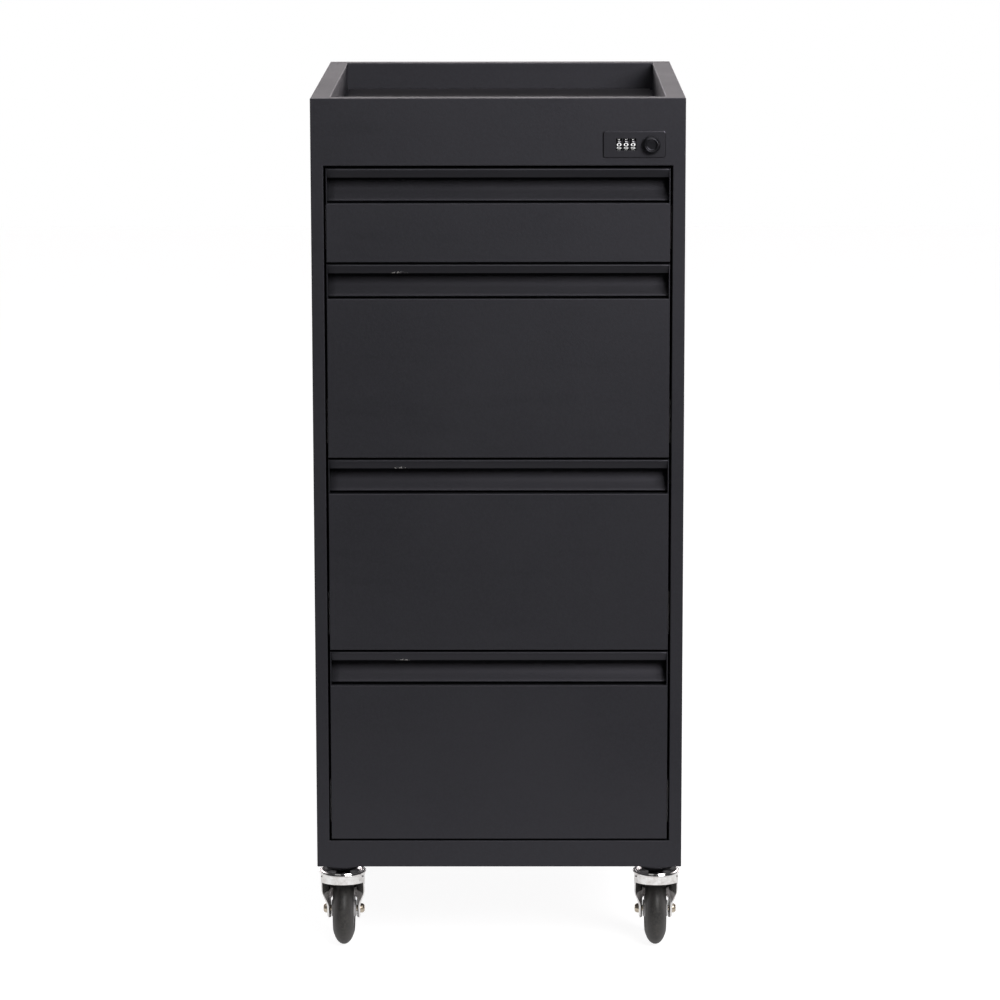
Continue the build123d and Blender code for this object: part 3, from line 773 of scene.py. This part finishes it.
def dial_points():
    """Wheel about X, of radius 6.5 mm, with eased rims and a notch between faces.

    A notch is 0.32 ((1 - cos 10a) / 2) cubed deep, a being the angle round the axis.
    """
    angle = np.linspace(0, 2 * pi, 200, endpoint=False)[:, None]
    across = np.array([-2.6, -2.6, -2.45, -2.1, 0, 2.1, 2.45, 2.6, 2.6])
    inset = np.array([4.9, 0.75, 0.3, 0, 0, 0, 0.3, 0.75, 4.9])
    notch = 0.32 * (0.5 - 0.5 * np.cos(DIAL_FACES * angle)) ** 3
    radius = DIAL_RADIUS - inset - notch * (inset < 4)
    return np.stack([across + 0 * radius, radius * np.cos(angle), radius * np.sin(angle)], -1) * MM


def numeral(digit, n, centre):
    """A numeral bent round the dial: its height becomes an angle, with face 0 at the front."""
    curve = bpy.data.curves.new(f"numeral_{digit}", "FONT")
    curve.body = str(digit)
    curve.align_x, curve.align_y = "CENTER", "CENTER"
    curve.size = 1.0
    curve.extrude = 0.02
    text = bpy.data.objects.new("numeral", curve)
    mesh = bpy.data.meshes.new_from_object(text)
    bpy.data.objects.remove(text)
    flat = np.empty(len(mesh.vertices) * 3, np.float32)
    mesh.vertices.foreach_get("co", flat)
    flat = flat.reshape(-1, 3).astype(float)
    flat[:, :2] -= (flat[:, :2].max(0) + flat[:, :2].min(0)) / 2
    size = flat[:, :2].max(0) - flat[:, :2].min(0)
    wide = NUMERAL_WIDTH if digit != 1 else ONE_WIDTH
    flat[:, :2] *= np.array([wide, NUMERAL_HEIGHT]) / size
    angle = flat[:, 1] / DIAL_RADIUS + digit * 2 * pi / DIAL_FACES
    radius = PAINT_FOOT + np.where(flat[:, 2] > 0, PAINT_THICKNESS, 0.0)
    bent = np.stack([flat[:, 0], -radius * np.cos(angle), radius * np.sin(angle)], -1)
    bent = bent * MM + centre
    mesh.vertices.foreach_set("co", bent.astype(np.float32).ravel())
    mesh.materials.clear()
    settle(f"dial_{n}_numeral_{digit}", mesh, f"lock_dial_{n}", finish=NUMERALS, replace=False)


def rounded_frame(x, z, grow, y, corner=2.0):
    """A loop round a rectangle with round corners, grown all round, from its X and Z spans.

    Each corner is a quarter circle of radius corner + grow about a point corner in from it.
    """
    turn = np.linspace(0, pi / 2, 6)
    loop = []
    for quarter, (side_x, side_z) in enumerate(((1, 1), (-1, 1), (-1, -1), (1, -1))):
        angle = turn + quarter * pi / 2
        centre_x = (x[1] if side_x > 0 else x[0]) - side_x * corner * MM
        centre_z = (z[1] if side_z > 0 else z[0]) - side_z * corner * MM
        reach = corner * MM + grow
        loop.append(np.stack([
            centre_x + reach * np.cos(angle), y + 0 * angle, centre_z + reach * np.sin(angle),
        ], -1))
    return np.vstack(loop)


def make_gasket(low, high):
    """Thin black ring under the lock plate that stands in for the dark shadow line all round it:
    painted shadow.
    """
    x, z = (low[0], high[0]), (low[2], high[2])
    section = ((-0.001, 0.0), (-0.001, 0.0005), (0.0004, 0.0005), (0.0007, 0.0003), (0.0007, 0.0))
    rings = [rounded_frame(x, z, grow, front_y - out) for grow, out in section]
    mesh = tidy_mesh(grid_mesh("painted_shadow_ring", np.array(rings), wrap_rows=True, wrap_columns=True))
    settle("lock_plate_painted_shadow_ring", mesh, "lock_housing", finish=FINISH["dial_plastic"],
           replace=False)


def make_lock():
    """Lock plate with a black ring round it as painted shadow, knob and numbered dials."""
    low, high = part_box("lock_housing")
    plate_low = (high[0] - PLATE_WIDTH, low[1], high[2] - PLATE_HEIGHT)
    # A black ring stands in for the shadow line round the plate: painted shadow
    make_gasket(plate_low, high)
    eased("lock_housing", PLATE_EDGE, lambda middle, along: near(middle[1], low[1]))
    knob_low, knob_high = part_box("lock_knob")
    knob_x = (knob_low[0] + knob_high[0]) / 2
    knob_z = (knob_low[2] + knob_high[2]) / 2
    spindle = np.array([(4.0, 0.2), (3.4, 0.0), (3.4, -22.0), (0, -22.0)]) * MM
    section = np.vstack([spindle[::-1], knob_section()[1:]])
    points = to_front(turned(section)) + np.array([knob_x, low[1], knob_z])
    knob = tidy_mesh(grid_mesh("knob", points, wrap_rows=True))
    settle("lock_knob_turned", knob, "lock_knob")
    for n in DIALS:
        dial_low, dial_high = (np.array(corner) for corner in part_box(f"lock_dial_{n}"))
        centre = (dial_low + dial_high) / 2
        mesh = grid_mesh("dial", dial_points() + centre, wrap_rows=True, wrap_columns=True)
        settle(f"lock_dial_{n}_faced", tidy_mesh(mesh, sharp=50), f"lock_dial_{n}")
        for digit in range(DIAL_FACES):
            numeral(digit, n, centre)


make_body()
for n in DRAWERS:
    make_drawer(n)
make_stem_domes()
for n in CASTERS:
    make_fork(n)
    make_wheel(n)
make_lock()
for name, node in nodes.items():
    paint(node, FINISH[slot_of[name]])


# ---------------------------------------------------------- floor, light, camera

def make_floor():
    """Pale sheet: white to the eye, and as a light brighter close to the cabinet."""
    corners = np.array([[[-6, -6, 0], [6, -6, 0]], [[-6, 6, 0], [6, 6, 0]]], float)
    mesh = grid_mesh("floor", corners)
    floor = bpy.data.objects.new("floor", mesh)
    bpy.context.scene.collection.objects.link(floor)
    made, tree, shader, where = material("pale_floor", Roughness=0.9, Base_Color=grey(0.25),
                                         Emission_Color=grey(1.0))
    seen = add(tree, "ShaderNodeLightPath").outputs["Is Camera Ray"]
    away = add(tree, "ShaderNodeVectorMath", operation="LENGTH")
    tree.links.new(where, away.inputs[0])
    close = maths(tree, "SUBTRACT", 1.0, ramp(tree, away.outputs["Value"], 0.55, 0.75))
    to_the_eye = maths(tree, "MULTIPLY", seen, 0.9)
    lit = maths(tree, "MAXIMUM", to_the_eye, maths(tree, "MULTIPLY", close, 0.62))
    tree.links.new(lit, shader.inputs["Emission Strength"])
    paint(floor, made)


def make_world():
    """White all round to the eye; as a light, dim but for a bright band low down behind."""
    world = bpy.data.worlds.new("studio")
    world.use_nodes = True
    tree = world.node_tree
    bpy.context.scene.world = world
    background = tree.nodes["Background"]
    where = add(tree, "ShaderNodeTexCoord").outputs["Generated"]
    split = add(tree, "ShaderNodeSeparateXYZ")
    tree.links.new(where, split.inputs[0])
    backward = ramp(tree, split.outputs["Y"], -0.2, 0.7)
    low = maths(tree, "SUBTRACT", 1.0, ramp(tree, split.outputs["Z"], 0.1, 0.4))
    band = maths(tree, "MULTIPLY", backward, low)
    level = blend_colours(tree, band, (0.05, 0.05, 0.05, 1), (3.7, 3.48, 3.55, 1))
    seen = add(tree, "ShaderNodeLightPath").outputs["Is Camera Ray"]
    tree.links.new(blend_colours(tree, seen, level, (1, 1, 1, 1)), background.inputs["Color"])


def soft_box(name, place, target, size, power):
    """A white rectangular area light of that many watts, pointed at the target."""
    light = bpy.data.lights.new(name, "AREA")
    light.shape, light.energy = "RECTANGLE", power
    light.size, light.size_y = size
    lamp = bpy.data.objects.new(name, light)
    bpy.context.scene.collection.objects.link(lamp)
    lamp.location = place
    lamp.rotation_euler = vector_angles(np.array(target) - np.array(place))


def vector_angles(direction):
    """Euler angles that point an object's -Z along a direction."""
    x, y, z = direction / np.linalg.norm(direction)
    return (np.arccos(-z), 0.0, np.arctan2(-x, y))


def make_camera():
    camera = bpy.data.cameras.new("camera")
    camera.lens, camera.shift_y = 144.41, -0.05
    holder = bpy.data.objects.new("camera", camera)
    bpy.context.scene.collection.objects.link(holder)
    holder.location = (0.0215, -4.2185, 1.2537)
    holder.rotation_euler = (radians(79.814), radians(0.0925), radians(0.27))
    bpy.context.scene.camera = holder


make_floor()
make_world()
soft_box("key", (1.5, -2.6, 2.2), (0.0, 0.0, 0.6), (1.8, 1.6), 110)
soft_box("overhead", (0.0, -0.4, 3.2), (0.0, 0.0, 0.6), (3.0, 3.0), 45)
soft_box("fill", (-1.3, -2.6, 2.2), (0.0, 0.0, 0.5), (1.6, 1.6), 3)
make_camera()
bpy.context.scene.view_settings.view_transform = "Standard"
